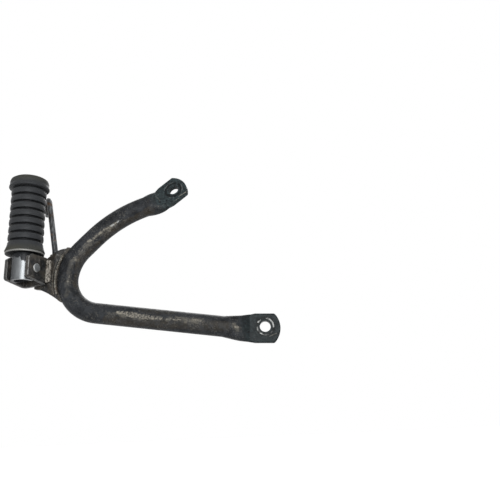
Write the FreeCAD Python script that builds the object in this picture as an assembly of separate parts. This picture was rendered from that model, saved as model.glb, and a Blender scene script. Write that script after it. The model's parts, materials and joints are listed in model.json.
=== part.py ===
"""Folding passenger foot peg of a motorcycle, on its bolt-on tube bracket.

Millimetres. +Z is up, +X runs along the lower arm towards its lug, and +Y
points into the motorcycle. The origin is the centre of the lower bolt hole, on
the lug face that lies against the frame. The peg is modelled folded up.
"""
import FreeCAD
import Part
import math
import os

V = FreeCAD.Vector

# Bracket tube: one bent tube with both ends pressed flat into bolt lugs.
tube_diameter = 20.0
tube_wall = 2.5
lug_width = 28.0
lug_thickness = 6.0
lug_hole_diameter = 10.5
lower_lug_hole_rise = 1.5
upper_lug_hole_rise = -0.9
lower_lug_end_margin = 14.6
upper_lug_end_margin = 13.8
lug_end_radius = 20.0
lug_corner_radius = 2.5
lug_edge_radius = 1.3
lug_root = 15.0
lug_lap = 4.0
lug_root_taper = 5.0
lug_root_narrowing = 1.2
lower_press_length = 30.0
upper_press_length = 22.0
press_ridge = 1.2
press_squareness = 4.5
press_narrowing = 0.3
press_steepness = 1.7
seam_tolerance = 0.01
tube_step = 0.5
upper_lug_twist = 19.0

# Bend table of the tube, from the lower lug to the upper one: the length of
# each straight leg up to its corner, then the turn there (degrees, + is
# anticlockwise seen from outside) and the radius of the bend.
first_heading = 177.5
lug_crank = (23.9, -5.9, 60.0)
tight_bend = (177.2, -93.6, 34.0)
second_bend = (51.0, -33.0, 46.0)
long_bend = (61.5, -27.5, 130.0)
upper_crank = (44.8, 20.9, 20.0)
last_leg = 19.0
bend_table = (lug_crank, tight_bend, second_bend, long_bend, upper_crank)

# Peg: steel stem, collar and rubber, turned about its own upright axis.
peg_from_lug = 233.8
peg_outboard = 8.0
pivot_height = 64.7
peg_yaw = 23.5
stem_diameter = 22.0
stem_wall = 2.8
stem_below_pivot = 11.5
pivot_behind_stem = 1.0
stem_height = 84.0
end_washer_diameter = 26.0
end_washer_thickness = 2.5
collar_diameter = 36.4
collar_thickness = 1.8
collar_above_pivot = 14.9

# Rubber sleeve, as radii and heights.
rubber_radius = 16.8
rubber_flange_radius = 18.8
head_radius = 19.3
rubber_base_height = 1.9
rubber_base_taper = 6.0
groove_count = 7
groove_pitch = 7.8
groove_width = 3.4
groove_depth = 1.9
groove_floor = 1.0
first_groove_height = 10.4
base_edge = 0.5
neck_radius = 15.6
head_taper = 3.6
head_rim_height = 9.0
head_dome = 1.6
head_edge = 0.8
head_rounding = 4.0

# Clevis: one folded steel plate, two ears and the web behind the stem.
clevis_plate = 4.0
clevis_side_clearance = 0.8
clevis_bend_radius = 5.0
ear_front = 10.2
ear_top = 13.0
ear_bottom_front = 9.8
ear_corner_clearance = 0.4
ear_bottom_corner = 2.4
web_bottom = 14.4
web_bottom_crown = 1.3
stop_clearance = 0.3

# Pivot rivet.
rivet_diameter = 7.0
rivet_clearance = 0.05
rivet_head_diameter = 9.2
rivet_head_height = 1.4
rivet_head_edge = 0.5

# Gusset plate between the clevis and the outside of the tube bend. Heights
# are above the pivot, and distances are from the peg's axis towards the tube.
gusset_thickness = 4.0
gusset_lap = 17.5
gusset_neck_top = 13.1
gusset_neck_bottom = -16.0
gusset_shoulder = 18.2
gusset_crest_start = 28.7
gusset_crest_height = 19.0
gusset_crest = 21.2
gusset_knee = 12.0
gusset_knee_height = -17.6
gusset_toe = 36.0
gusset_toe_height = -32.4
gusset_root = 46.0
lip_thickness = 3.0
lip_reach = 5.2
lip_run_below = 12.0
lip_run_above = 6.0
tube_fit = 0.05

# Weld beads.
bead_radius = 1.6
bead_sink = 0.9
clevis_bead_radius = 2.8
clevis_bead_margin = 3.0
saddle_bead_bottom = -22.5
saddle_bead_top = 9.5

# Luggage strap hook, a bent rod welded behind the gusset. Distances are from
# the peg's axis towards the tube, heights above the pivot.
hook_rod_diameter = 5.6
hook_foot_height = 4.0
hook_lean = 1.1
hook_knee_height = 22.0
hook_knee_radius = 25.0
hook_top = 12.4
hook_top_height = 77.3
hook_top_inboard = 15.0
hook_bend_radius = 7.0
hook_return = 7.0
hook_return_yaw = 60.0
hook_bead_radius = 1.9
hook_bead_length = 10.0
hook_bead_clearance = 0.4

tube_radius = tube_diameter / 2.0
tube_y = -lug_thickness / 2.0
peg_x = -peg_from_lug
peg_y = tube_y - peg_outboard
pivot_y = pivot_behind_stem
stem_radius = stem_diameter / 2.0
web_front = pivot_y + stem_below_pivot + stop_clearance
web_rear = web_front + clevis_plate
ear_inner = stem_radius + clevis_side_clearance
ear_outer = ear_inner + clevis_plate
rivet_radius = rivet_diameter / 2.0
collar_top = collar_above_pivot + collar_thickness


def heading_vector(heading):
    """Unit vector in the tube's plane for a heading in degrees from +X."""
    angle = math.radians(heading)
    return V(math.cos(angle), 0, math.sin(angle))


def tube_path():
    """Centreline edges of the tube, from the lower hole to the upper hole."""
    here = V(0, tube_y, 0) - heading_vector(first_heading - 90.0) * lower_lug_hole_rise
    heading = first_heading
    edges = []
    corner = here
    for leg, turn, radius in bend_table:
        corner = corner + heading_vector(heading) * leg
        setback = radius * math.tan(math.radians(abs(turn) / 2.0))
        arc_start = corner - heading_vector(heading) * setback
        arc_end = corner + heading_vector(heading + turn) * setback
        bisector = heading_vector(heading + turn) - heading_vector(heading)
        centre_distance = radius / math.cos(math.radians(turn / 2.0))
        arc_middle = corner + bisector.normalize() * (centre_distance - radius)
        edges.append(Part.LineSegment(here, arc_start).toShape())
        edges.append(Part.Arc(arc_start, arc_middle, arc_end).toShape())
        here = arc_end
        heading += turn
    edges.append(Part.LineSegment(here, corner + heading_vector(heading) * last_leg).toShape())
    return edges


def path_length(edges):
    return sum(edge.Length for edge in edges)


def path_point(edges, distance):
    """Point and direction on the path at a distance from its start."""
    left = distance
    for edge in edges[:-1]:
        if left <= edge.Length:
            break
        left -= edge.Length
    else:
        edge = edges[-1]
    parameter = edge.getParameterByLength(min(left, edge.Length))
    return edge.valueAt(parameter), edge.tangentAt(parameter)


def path_between(edges, start, end):
    """The stretch of the path between two distances, as one wire."""
    pieces = []
    travelled = 0.0
    for edge in edges:
        first = max(start - travelled, 0.0)
        last = min(end - travelled, edge.Length)
        if last - first > 1e-6:
            low = edge.getParameterByLength(first)
            high = edge.getParameterByLength(last)
            pieces.append(edge.Curve.toShape(low, high))
        travelled += edge.Length
    return Part.Wire(pieces)


def swept_rod(wire, radius):
    """Round bar of one radius along a smooth wire."""
    first = wire.OrderedEdges[0]
    start = first.valueAt(first.FirstParameter)
    direction = first.tangentAt(first.FirstParameter)
    ring = Part.Wire([Part.Circle(start, direction, radius).toShape()])
    return wire.makePipeShell([ring], True, False)


def lug_normal(direction, twist):
    """Outward normal of a lug whose flat is turned by twist about its arm."""
    outward = V(0, -1, 0)
    upward = outward.cross(direction)
    if upward.z < 0:
        upward = upward * -1
    angle = math.radians(twist)
    return outward * math.cos(angle) + upward * math.sin(angle)


def pressed_ring(point, direction, normal, half_width, half_height, squareness):
    """Closed section of a tube that is partly pressed flat."""
    across = normal.cross(direction).normalize()
    power = 2.0 / squareness
    steps = 32
    points = []
    for step in range(steps):
        angle = 2.0 * math.pi * step / steps
        wide = math.copysign(abs(math.cos(angle)) ** power, math.cos(angle))
        high = math.copysign(abs(math.sin(angle)) ** power, math.sin(angle))
        points.append(point + across * (half_width * wide) + normal * (half_height * high))
    curve = Part.BSplineCurve()
    curve.interpolate(Points=points, PeriodicFlag=True)
    return Part.Wire([curve.toShape()])


def pressed_end(edges, round_at, flat_at, twist, inset):
    """Stretch of tube that goes from round to flat, inset from its outside."""
    sections = []
    steps = 7
    for step in range(steps + 1):
        share = step / steps
        point, direction = path_point(edges, round_at + (flat_at - round_at) * share)
        normal = lug_normal(direction, twist)
        radius = tube_radius - inset
        flat_width = lug_width / 2.0 - press_narrowing - inset
        flat_height = press_ridge if inset == 0 else press_ridge / 2.0
        width = radius + (flat_width - radius) * share
        height = radius - (radius - flat_height) * share ** press_steepness
        squareness = 2.0 + (press_squareness - 2.0) * share
        sections.append(pressed_ring(point, direction, normal, width, height, squareness))
    return Part.makeLoft(sections, True, False)


def lug_frame(path_end, towards_end, twist, hole_rise):
    """Placement of a lug: its hole, with +X to its end and +Z out of its face."""
    normal = lug_normal(towards_end, twist)
    across = normal.cross(towards_end)
    rise = across if across.z > 0 else across * -1
    turn = FreeCAD.Rotation(towards_end, across, normal, "XZY")
    return FreeCAD.Placement(path_end + rise * hole_rise, turn), hole_rise * rise.dot(across)


def lug_plate(frame, hole_shift, end_margin):
    """Flat bolt lug with an arched end, its hole nearer to one long edge."""
    half = lug_width / 2.0
    arc_centre = end_margin - lug_end_radius
    corner = arc_centre + math.sqrt(lug_end_radius ** 2 - half ** 2)
    root_half = half - lug_root_narrowing
    low_corner, high_corner = V(corner, -half, 0), V(corner, half, 0)
    sides = Part.makePolygon([
        high_corner, V(-lug_root + lug_root_taper, half, 0), V(-lug_root, root_half, 0),
        V(-lug_root, -root_half, 0), V(-lug_root + lug_root_taper, -half, 0), low_corner,
    ])
    arch = Part.Arc(low_corner, V(end_margin, 0, 0), high_corner).toShape()
    outline = Part.Wire(sides.Edges + [arch])
    plate = Part.Face(outline).extrude(V(0, 0, lug_thickness))
    plate.translate(V(0, 0, -lug_thickness / 2.0))
    corners = [e for e in plate.Edges if upright(e) and e.CenterOfMass.x > 0]
    plate = plate.makeFillet(lug_corner_radius, corners)
    rims = [e for e in plate.Edges if abs(abs(e.CenterOfMass.z) - lug_thickness / 2.0) < 1e-6
            and e.CenterOfMass.x > -lug_root + 1e-6]
    plate = plate.makeFillet(lug_edge_radius, rims)
    plate.translate(V(0, -hole_shift, 0))
    return plate.transformed(frame.toMatrix())


def lug_hole(frame):
    hole = Part.makeCylinder(lug_hole_diameter / 2.0, 2.0 * lug_width, V(0, 0, -lug_width))
    return hole.transformed(frame.toMatrix())


def upright(edge):
    """True for a straight edge along the local Z axis."""
    if not isinstance(edge.Curve, Part.Line):
        return False
    return abs(abs(edge.tangentAt(edge.FirstParameter).z) - 1.0) < 1e-9


def make_tube(edges):
    """Hollow bent tube with its two pressed lugs and their bolt holes."""
    total = path_length(edges)
    flat_low = lug_root - lug_lap
    flat_high = total - flat_low
    round_low = flat_low + lower_press_length
    round_high = flat_high - upper_press_length
    solids = []
    for inset in (0.0, tube_wall):
        middle = swept_rod(path_between(edges, round_low, round_high), tube_radius - inset)
        low = pressed_end(edges, round_low, flat_low, 0.0, inset)
        high = pressed_end(edges, round_high, flat_high, upper_lug_twist, inset)
        solids.append(middle.fuse([low, high], seam_tolerance))
    outside, bore = solids
    lugs = []
    holes = []
    ends = (
        (0.0, -1, 0.0, lower_lug_hole_rise, lower_lug_end_margin),
        (total, 1, upper_lug_twist, upper_lug_hole_rise, upper_lug_end_margin),
    )
    for distance, sense, twist, hole_rise, end_margin in ends:
        point, direction = path_point(edges, distance)
        frame, hole_shift = lug_frame(point, direction * sense, twist, hole_rise)
        lugs.append(lug_plate(frame, hole_shift, end_margin))
        holes.append(lug_hole(frame))
    tube = outside.fuse(lugs).cut(bore)
    return tube.cut(holes)


def in_peg_frame(shape):
    """Puts a shape made about the pivot, +X along the pin, into its place."""
    place = FreeCAD.Placement(V(peg_x, peg_y, pivot_height), FreeCAD.Rotation(V(0, 0, 1), -peg_yaw))
    return shape.transformed(place.toMatrix())


def side_profile(points, thickness):
    """Prism across the ears, from an outline in the plane of the fold."""
    wire = Part.makePolygon(points + [points[0]])
    return Part.Face(wire).extrude(V(thickness, 0, 0))


def make_clevis():
    """Folded plate: two ears with the pin hole, and the web as the stop."""
    bottom = -web_bottom - web_bottom_crown
    height = ear_top - bottom
    front = pivot_y - ear_front
    outside = Part.makeBox(2 * ear_outer, web_rear - front, height, V(-ear_outer, front, bottom))
    bends = [e for e in outside.Edges if upright(e) and abs(e.CenterOfMass.y - web_rear) < 1e-6]
    outside = outside.makeFillet(clevis_bend_radius, bends)
    inside = Part.makeBox(2 * ear_inner, web_front - front + 1, height + 2,
                          V(-ear_inner, front - 1, bottom - 1))
    bends = [e for e in inside.Edges if upright(e) and abs(e.CenterOfMass.y - web_front) < 1e-6]
    inside = inside.makeFillet(clevis_bend_radius - clevis_plate, bends)
    clevis = outside.cut(inside)
    slope = [V(-ear_outer - 1, front - 1, -ear_bottom_front), V(-ear_outer - 1, web_rear + 1, -web_bottom),
             V(-ear_outer - 1, web_rear + 1, ear_top), V(-ear_outer - 1, front - 1, ear_top)]
    ears = side_profile(slope, 2 * ear_outer + 2)
    crown = Part.Wire([
        Part.Arc(V(-ear_outer, 0, -web_bottom), V(0, 0, bottom), V(ear_outer, 0, -web_bottom)).toShape(),
        Part.makePolygon([V(ear_outer, 0, -web_bottom), V(ear_outer, 0, ear_top),
                          V(-ear_outer, 0, ear_top), V(-ear_outer, 0, -web_bottom)]),
    ])
    web = Part.Face(crown).extrude(V(0, clevis_plate + clevis_bend_radius, 0))
    web.translate(V(0, web_front - 1, 0))
    clevis = clevis.common(ears.fuse(web))
    reach = collar_above_pivot - ear_corner_clearance
    swing = Part.makeCylinder(reach, 2 * ear_outer + 2, V(-ear_outer - 1, pivot_y, 0), V(1, 0, 0))
    corner = Part.makeBox(2 * ear_outer + 2, ear_front + 1, ear_top + 1, V(-ear_outer - 1, front - 1, 0))
    clevis = clevis.cut(corner.cut(swing))
    toes = [e for e in clevis.Edges if abs(e.CenterOfMass.y - front) < 0.2 and e.CenterOfMass.z < -1
            and e.Length < clevis_plate * 1.2 and abs(e.CenterOfMass.z + ear_bottom_front) < 1.0]
    clevis = clevis.makeFillet(ear_bottom_corner, toes)
    return in_peg_frame(clevis.cut(pin_hole(ear_outer)))


def pin_hole(half_length):
    start = V(-half_length - 1, pivot_y, 0)
    return Part.makeCylinder(rivet_radius + rivet_clearance, 2 * half_length + 2, start, V(1, 0, 0))


def make_rivet():
    """Pivot rivet: shank through both ears and the stem, a head on each side."""
    shank = Part.makeCylinder(rivet_radius, 2 * ear_outer, V(-ear_outer, pivot_y, 0), V(1, 0, 0))
    heads = []
    for side in (-1, 1):
        head = Part.makeCylinder(rivet_head_diameter / 2.0, rivet_head_height,
                                 V(side * ear_outer, pivot_y, 0), V(side, 0, 0))
        face = side * (ear_outer + rivet_head_height)
        rim = [e for e in head.Edges if abs(e.CenterOfMass.x - face) < 1e-6
               and isinstance(e.Curve, Part.Circle)]
        heads.append(head.makeChamfer(rivet_head_edge, rim))
    return in_peg_frame(shank.fuse(heads))


def make_stem():
    """Tube stem, open below, with one rounded corner that lets it fold."""
    length = stem_below_pivot + stem_height
    outside = Part.makeCylinder(stem_radius, length, V(0, 0, -stem_below_pivot))
    bore = Part.makeCylinder(stem_radius - stem_wall, length, V(0, 0, -stem_below_pivot))
    stem = outside.cut(bore)
    reach = stem_diameter
    corner = Part.makeBox(2 * reach, reach, reach, V(-reach, pivot_y, -reach))
    round_corner = Part.makeCylinder(stem_below_pivot, 2 * reach, V(-reach, pivot_y, 0), V(1, 0, 0))
    stem = stem.cut(corner.cut(round_corner))
    return in_peg_frame(stem.cut(pin_hole(stem_radius)))


def disc(radius, thickness, height, bore):
    """Flat ring about the peg's axis."""
    ring = Part.makeCylinder(radius, thickness, V(0, 0, height))
    return ring.cut(Part.makeCylinder(bore, thickness, V(0, 0, height)))


def make_collar():
    """Steel ring that the rubber butts against, above the ears."""
    return in_peg_frame(disc(collar_diameter / 2.0, collar_thickness, collar_above_pivot, stem_radius))


def make_end_washer():
    """Washer welded on the outer end of the stem, inside the rubber."""
    hole = stem_radius - stem_wall
    return in_peg_frame(disc(end_washer_diameter / 2.0, end_washer_thickness, stem_height, hole))


def rubber_outline():
    """Edges of the rubber's outside, from its base up to its head."""
    edges = []
    here = V(stem_radius, 0, collar_top)

    def line_to(radius, height):
        nonlocal here
        there = V(radius, 0, height)
        edges.append(Part.LineSegment(here, there).toShape())
        here = there

    def arc_to(middle_radius, middle_height, radius, height):
        nonlocal here
        there = V(radius, 0, height)
        edges.append(Part.Arc(here, V(middle_radius, 0, middle_height), there).toShape())
        here = there

    line_to(rubber_flange_radius - base_edge, collar_top)
    line_to(rubber_flange_radius, collar_top + base_edge)
    line_to(rubber_flange_radius, collar_top + rubber_base_height - base_edge)
    line_to(rubber_flange_radius - base_edge, collar_top + rubber_base_height)
    arc_to(rubber_radius + 0.7, collar_top + rubber_base_height + rubber_base_taper * 0.4,
           rubber_radius, collar_top + rubber_base_height + rubber_base_taper)
    for groove in range(groove_count):
        middle = collar_top + first_groove_height + groove * groove_pitch
        line_to(rubber_radius, middle - groove_width / 2.0)
        line_to(rubber_radius - groove_depth, middle - groove_floor / 2.0)
        line_to(rubber_radius - groove_depth, middle + groove_floor / 2.0)
        line_to(rubber_radius, middle + groove_width / 2.0)
    neck = collar_top + first_groove_height + groove_count * groove_pitch
    line_to(rubber_radius, neck - groove_width / 2.0)
    line_to(neck_radius, neck)
    rim = neck + head_taper
    line_to(head_radius - head_edge, rim - head_edge)
    line_to(head_radius, rim)
    rim_top = rim + head_rim_height
    dome_rim = head_radius - head_rounding
    arc_to(head_radius - head_rounding * 0.25, rim + head_rim_height * 0.6, dome_rim, rim_top)
    dome_radius = (dome_rim ** 2 + head_dome ** 2) / (2.0 * head_dome)
    dome_centre = rim_top + head_dome - dome_radius
    dome_middle = dome_centre + math.sqrt(dome_radius ** 2 - (dome_rim / 2.0) ** 2)
    arc_to(dome_rim / 2.0, dome_middle, 0, rim_top + head_dome)
    return edges, here


def make_rubber():
    """Ribbed rubber sleeve with a flange at each end, pushed on the stem."""
    edges, top = rubber_outline()
    washer_top = stem_height + end_washer_thickness
    washer_radius = end_washer_diameter / 2.0
    inside = Part.makePolygon([top, V(0, 0, washer_top), V(washer_radius, 0, washer_top),
                               V(washer_radius, 0, stem_height), V(stem_radius, 0, stem_height),
                               V(stem_radius, 0, collar_top)])
    profile = Part.Face(Part.Wire(edges + inside.Edges))
    return in_peg_frame(profile.revolve(V(0, 0, 0), V(0, 0, 1), 360))


def peg_point(side, back, height=0.0):
    """World point from a place beside and behind the pivot."""
    yaw = math.radians(peg_yaw)
    x = peg_x + side * math.cos(yaw) + back * math.sin(yaw)
    y = peg_y - side * math.sin(yaw) + back * math.cos(yaw)
    return V(x, y, pivot_height + height)


def lap_side(back, y):
    """How far beside the pivot a lap surface reaches before the fold to y."""
    yaw = math.radians(peg_yaw)
    return (peg_y + back * math.cos(yaw) - y) / math.sin(yaw)


def gusset_outline(front, rear):
    """Prism of the gusset's outline seen from outside, between two planes."""
    def at(out, height):
        return V(peg_x + out, front, pivot_height + height)
    crest_start = at(gusset_crest_start, gusset_crest_height)
    crest_end = at(gusset_root, gusset_crest)
    crest_middle = at((gusset_crest_start + gusset_toe) / 2.0, gusset_crest - 0.6)
    left = -stem_radius
    neck_low, neck_high = at(left, gusset_neck_bottom), at(left, gusset_neck_top)
    shoulder = at(gusset_shoulder, gusset_neck_top)
    toe_inside = at(gusset_root - 2.0, gusset_toe_height - 3.0)
    toe, knee = at(gusset_toe, gusset_toe_height), at(gusset_knee, gusset_knee_height)
    neck_turn = at(gusset_lap / 4.0, gusset_neck_bottom)
    waist = at((gusset_knee + gusset_toe) / 2.0, (gusset_knee_height + gusset_toe_height) / 2.0 + 1.0)
    wire = Part.Wire([
        Part.LineSegment(neck_low, neck_high).toShape(),
        Part.LineSegment(neck_high, shoulder).toShape(),
        Part.LineSegment(shoulder, crest_start).toShape(),
        Part.Arc(crest_start, crest_middle, crest_end).toShape(),
        Part.LineSegment(crest_end, toe_inside).toShape(),
        Part.LineSegment(toe_inside, toe).toShape(),
        Part.Arc(toe, waist, knee).toShape(),
        Part.LineSegment(knee, neck_turn).toShape(),
        Part.LineSegment(neck_turn, neck_low).toShape(),
    ])
    return Part.Face(wire).extrude(V(0, rear - front, 0))


def make_gusset(edges):
    """Folded plate that laps the web's back and saddles the tube's bend."""
    half = gusset_thickness / 2.0
    lap_back = web_rear + gusset_thickness
    lap_edge = ear_outer - gusset_lap
    inside_tube = peg_x + gusset_root
    plan = [
        peg_point(lap_edge, web_rear),
        peg_point(lap_side(web_rear, tube_y - half), web_rear),
        V(inside_tube, tube_y - half, pivot_height),
        V(inside_tube, tube_y + half, pivot_height),
        peg_point(lap_side(lap_back, tube_y + half), lap_back),
        peg_point(lap_edge, lap_back),
    ]
    height = 2.0 * stem_height
    folded = Part.Face(Part.makePolygon(plan + [plan[0]])).extrude(V(0, 0, height))
    folded.translate(V(0, 0, -height / 2.0))
    plate = folded.common(gusset_outline(tube_y - 3 * gusset_lap, tube_y + 3 * gusset_lap))
    low, high = bend_stretch(edges, gusset_toe_height - lip_run_below, gusset_crest + lip_run_above)
    bend = path_between(edges, low, high)
    sleeve = swept_rod(bend, tube_radius + lip_thickness)
    lip = sleeve.common(gusset_outline(tube_y - lip_reach, tube_y))
    envelope = swept_rod(bend, tube_radius + tube_fit)
    return plate.fuse(lip).cut(envelope).removeSplitter()


def bend_stretch(edges, low, high):
    """Distances along the tube at two heights from the pivot, in the bend."""
    found = []
    for height in (low, high):
        distance = lug_crank[0] + tight_bend[0] - 2.0 * tight_bend[2]
        while path_point(edges, distance)[0].z < pivot_height + height:
            distance += tube_step
        found.append(distance)
    return found


def bead(wire, radius, carriers):
    """Weld bead with round ends, cut to lie on the pieces that it joins."""
    solid = swept_rod(wire, radius)
    for vertex in (wire.OrderedVertexes[0], wire.OrderedVertexes[-1]):
        solid = solid.fuse(Part.makeSphere(radius, vertex.Point))
    return max(solid.cut(carriers).Solids, key=lambda piece: piece.Volume)


def straight_bead(start, end, radius, carriers):
    wire = Part.Wire([Part.LineSegment(start, end).toShape()])
    return bead(wire, radius, carriers)


def saddle_bead(edges, outward, y, carriers):
    """Bead that follows the outside of the tube's bend."""
    low, high = bend_stretch(edges, saddle_bead_bottom, saddle_bead_top)
    points = []
    steps = 6
    for step in range(steps + 1):
        point, direction = path_point(edges, low + (high - low) * step / steps)
        out = V(0, -1, 0).cross(direction)
        points.append(V(point.x, y, point.z) + out * outward)
    curve = Part.BSplineCurve()
    curve.interpolate(Points=points)
    return bead(Part.Wire([curve.toShape()]), bead_radius, carriers)


def make_clevis_beads(clevis, gusset):
    """Upright beads: the near ear to the gusset, and the gusset's edge to the web."""
    low = -web_bottom + clevis_bead_margin
    high = ear_top - clevis_bead_margin
    near_side = ear_outer + bead_sink
    near_back = web_rear - clevis_bead_radius / 2.0
    near = straight_bead(peg_point(near_side, near_back, low), peg_point(near_side, near_back, high),
                         clevis_bead_radius, [clevis, gusset])
    far_side = ear_outer - gusset_lap - bead_sink
    far_back = web_rear + bead_sink
    far = straight_bead(peg_point(far_side, far_back, low), peg_point(far_side, far_back, high),
                        bead_radius, [clevis, gusset])
    return near, far


def gusset_back(out):
    """Y of the gusset's back face at a distance from the peg's axis to the tube."""
    rear = tube_y + gusset_thickness / 2.0
    lap_back = web_rear + gusset_thickness
    fold = peg_point(lap_side(lap_back, rear), lap_back).x - peg_x
    return rear + max(fold - out, 0.0) * math.tan(math.radians(peg_yaw))


def hook_place(edges):
    """Distance from the peg's axis to the hook's foot, which keeps its bead clear of the saddle's."""
    low = pivot_height + hook_foot_height
    high = low + hook_bead_length + 2.0 * hook_bead_radius
    nearest = 0.0
    distance = 0.0
    while distance < path_length(edges):
        point, direction = path_point(edges, distance)
        outside = point + V(0, -1, 0).cross(direction) * tube_radius
        if low <= outside.z <= high:
            nearest = min(nearest, outside.x)
        distance += tube_step
    hook_half_width = hook_rod_diameter / 2.0 + bead_sink + hook_bead_radius
    return nearest - bead_sink - bead_radius - hook_bead_clearance - hook_half_width - peg_x


def hook_wire(hook_foot):
    """Centreline of the strap hook, from its foot to the end of its return."""
    hook_knee = hook_foot - hook_lean
    stand_off = hook_rod_diameter / 2.0 / math.cos(math.radians(peg_yaw))
    foot = V(peg_x + hook_foot, gusset_back(hook_foot) + stand_off, pivot_height + hook_foot_height)
    knee = V(peg_x + hook_knee, gusset_back(hook_knee) + stand_off, pivot_height + hook_knee_height)
    top = V(peg_x + hook_top, tube_y + hook_top_inboard, pivot_height + hook_top_height)
    up = (top - knee).normalize()
    start = (knee - foot).normalize()
    turn = start.getAngle(up)
    setback = hook_knee_radius * math.tan(turn / 2.0)
    knee_in = knee - start * setback
    knee_out = knee + up * setback
    bow = (up - start).normalize() * (hook_knee_radius / math.cos(turn / 2.0) - hook_knee_radius)
    yaw = math.radians(hook_return_yaw)
    aside = V(-math.cos(yaw), math.sin(yaw), 0)
    aside = (aside - up * aside.dot(up)).normalize()
    crown = top + aside * hook_bend_radius + up * hook_bend_radius
    back = top + aside * (2.0 * hook_bend_radius)
    return Part.Wire([
        Part.LineSegment(foot, knee_in).toShape(),
        Part.Arc(knee_in, knee + bow, knee_out).toShape(),
        Part.LineSegment(knee_out, top).toShape(),
        Part.Arc(top, crown, back).toShape(),
        Part.LineSegment(back, back - up * hook_return).toShape(),
    ])


def make_hook_beads(hook_foot, hook, gusset):
    """The two short beads that hold the hook's foot to the gusset's back."""
    beads = []
    for side in (-1, 1):
        out = hook_foot + side * (hook_rod_diameter / 2.0 + bead_sink)
        start = V(peg_x + out, gusset_back(out) + bead_sink,
                  pivot_height + hook_foot_height + hook_bead_radius + bead_sink)
        beads.append(straight_bead(start, start + V(0, 0, hook_bead_length), hook_bead_radius,
                                   [hook, gusset]))
    return Part.makeCompound(beads)


def export(shape, name):
    if not shape.isValid() or shape.Volume <= 0:
        raise ValueError("bad solid: " + name)
    shape.exportStep("parts/" + name + ".step")
    print(name, len(shape.Solids), "solid(s)", round(shape.Volume / 1000.0, 2), "cm3")


def main():
    os.makedirs("parts", exist_ok=True)
    edges = tube_path()
    tube = make_tube(edges)
    clevis = make_clevis()
    gusset = make_gusset(edges)
    near_bead, far_bead = make_clevis_beads(clevis, gusset)
    hook_foot = hook_place(edges)
    hook = swept_rod(hook_wire(hook_foot), hook_rod_diameter / 2.0)
    front_y = tube_y - lip_reach - bead_sink
    rear_y = tube_y + gusset_thickness / 2.0 + bead_sink
    export(tube, "bracket_tube")
    export(clevis, "clevis")
    export(gusset, "gusset_plate")
    export(near_bead, "weld_near_ear")
    export(far_bead, "weld_web_back")
    export(saddle_bead(edges, tube_radius, front_y, [tube, gusset]), "weld_saddle_front")
    export(saddle_bead(edges, tube_radius + bead_sink, rear_y, [tube, gusset, hook]), "weld_saddle_back")
    export(hook, "strap_hook")
    export(make_hook_beads(hook_foot, hook, gusset), "weld_hook_foot")
    export(make_rivet(), "pivot_rivet")
    export(make_stem(), "peg_stem")
    export(make_collar(), "rubber_collar")
    export(make_end_washer(), "stem_end_washer")
    export(make_rubber(), "peg_rubber")


main()
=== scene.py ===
"""Dressed model of a used folding foot peg on its tube bracket, with worn finishes."""
import json
import math
import random

import bmesh
import bpy
from mathutils import Matrix, Vector


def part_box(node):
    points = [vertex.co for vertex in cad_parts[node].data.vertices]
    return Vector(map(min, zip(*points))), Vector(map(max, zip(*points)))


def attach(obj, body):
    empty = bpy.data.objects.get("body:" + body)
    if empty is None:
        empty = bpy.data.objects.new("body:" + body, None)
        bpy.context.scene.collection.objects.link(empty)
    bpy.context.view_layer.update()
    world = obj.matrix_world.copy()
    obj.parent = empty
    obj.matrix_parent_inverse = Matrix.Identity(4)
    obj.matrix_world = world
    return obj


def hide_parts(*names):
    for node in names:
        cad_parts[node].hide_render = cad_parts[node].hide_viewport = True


bl_info = {
    "name": "Folding Foot Peg",
    "version": (1, 0, 0),
    "blender": (4, 5, 0),
    "location": "View3D > Sidebar > Foot Peg",
    "description": "Models the rubber, clevis, welds and worn finishes of a folding foot peg",
    "category": "Object",
}

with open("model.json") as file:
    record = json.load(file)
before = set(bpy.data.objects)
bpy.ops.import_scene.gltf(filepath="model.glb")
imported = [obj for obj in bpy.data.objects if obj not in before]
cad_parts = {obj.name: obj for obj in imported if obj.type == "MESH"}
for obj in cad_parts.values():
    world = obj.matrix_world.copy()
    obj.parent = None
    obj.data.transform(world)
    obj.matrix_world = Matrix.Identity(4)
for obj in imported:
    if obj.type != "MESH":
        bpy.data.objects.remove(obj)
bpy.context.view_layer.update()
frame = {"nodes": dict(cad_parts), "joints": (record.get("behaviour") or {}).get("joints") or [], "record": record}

MM = 0.001
LOCAL_UP = Vector((0, 0, 1))
HINGE = next(joint for joint in frame["joints"] if joint["name"] == "peg_fold")
PIN_DIRECTION = Vector(HINGE["axis"]).normalized()
PIVOT = Vector(HINGE["pos_m"])
MOUNTS = {mount["name"]: mount for mount in frame["record"]["mounts"]}


def stem_axis():
    """Point of the stem's axis at zero height, under the middle of the rubber's box."""
    low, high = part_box("peg_rubber")
    middle = (low + high) / 2
    return Vector((middle.x, middle.y, 0))


STEM_AXIS = stem_axis()


def stem_radius():
    low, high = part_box("peg_stem")
    return (high - low).x / 2


def pin_frame():
    """Matrix with +X along the pin, +Y into the motorcycle and its origin on the peg's axis."""
    inward = LOCAL_UP.cross(PIN_DIRECTION)
    turn = Matrix((PIN_DIRECTION, inward, LOCAL_UP)).transposed().to_4x4()
    return Matrix.Translation((STEM_AXIS.x, STEM_AXIS.y, PIVOT.z)) @ turn


PIN_FRAME = pin_frame()


def length_property(name, description, default):
    return bpy.props.FloatProperty(name=name, description=description, default=default,
                                   unit="LENGTH", subtype="DISTANCE", precision=5)


def angle_property(name, description, degrees):
    return bpy.props.FloatProperty(name=name, description=description,
                                   default=math.radians(degrees), unit="ROTATION", subtype="ANGLE")


def colour_property(name, description, default):
    return bpy.props.FloatVectorProperty(name=name, description=description, default=default,
                                         size=3, min=0, max=1, subtype="COLOR")


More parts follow.
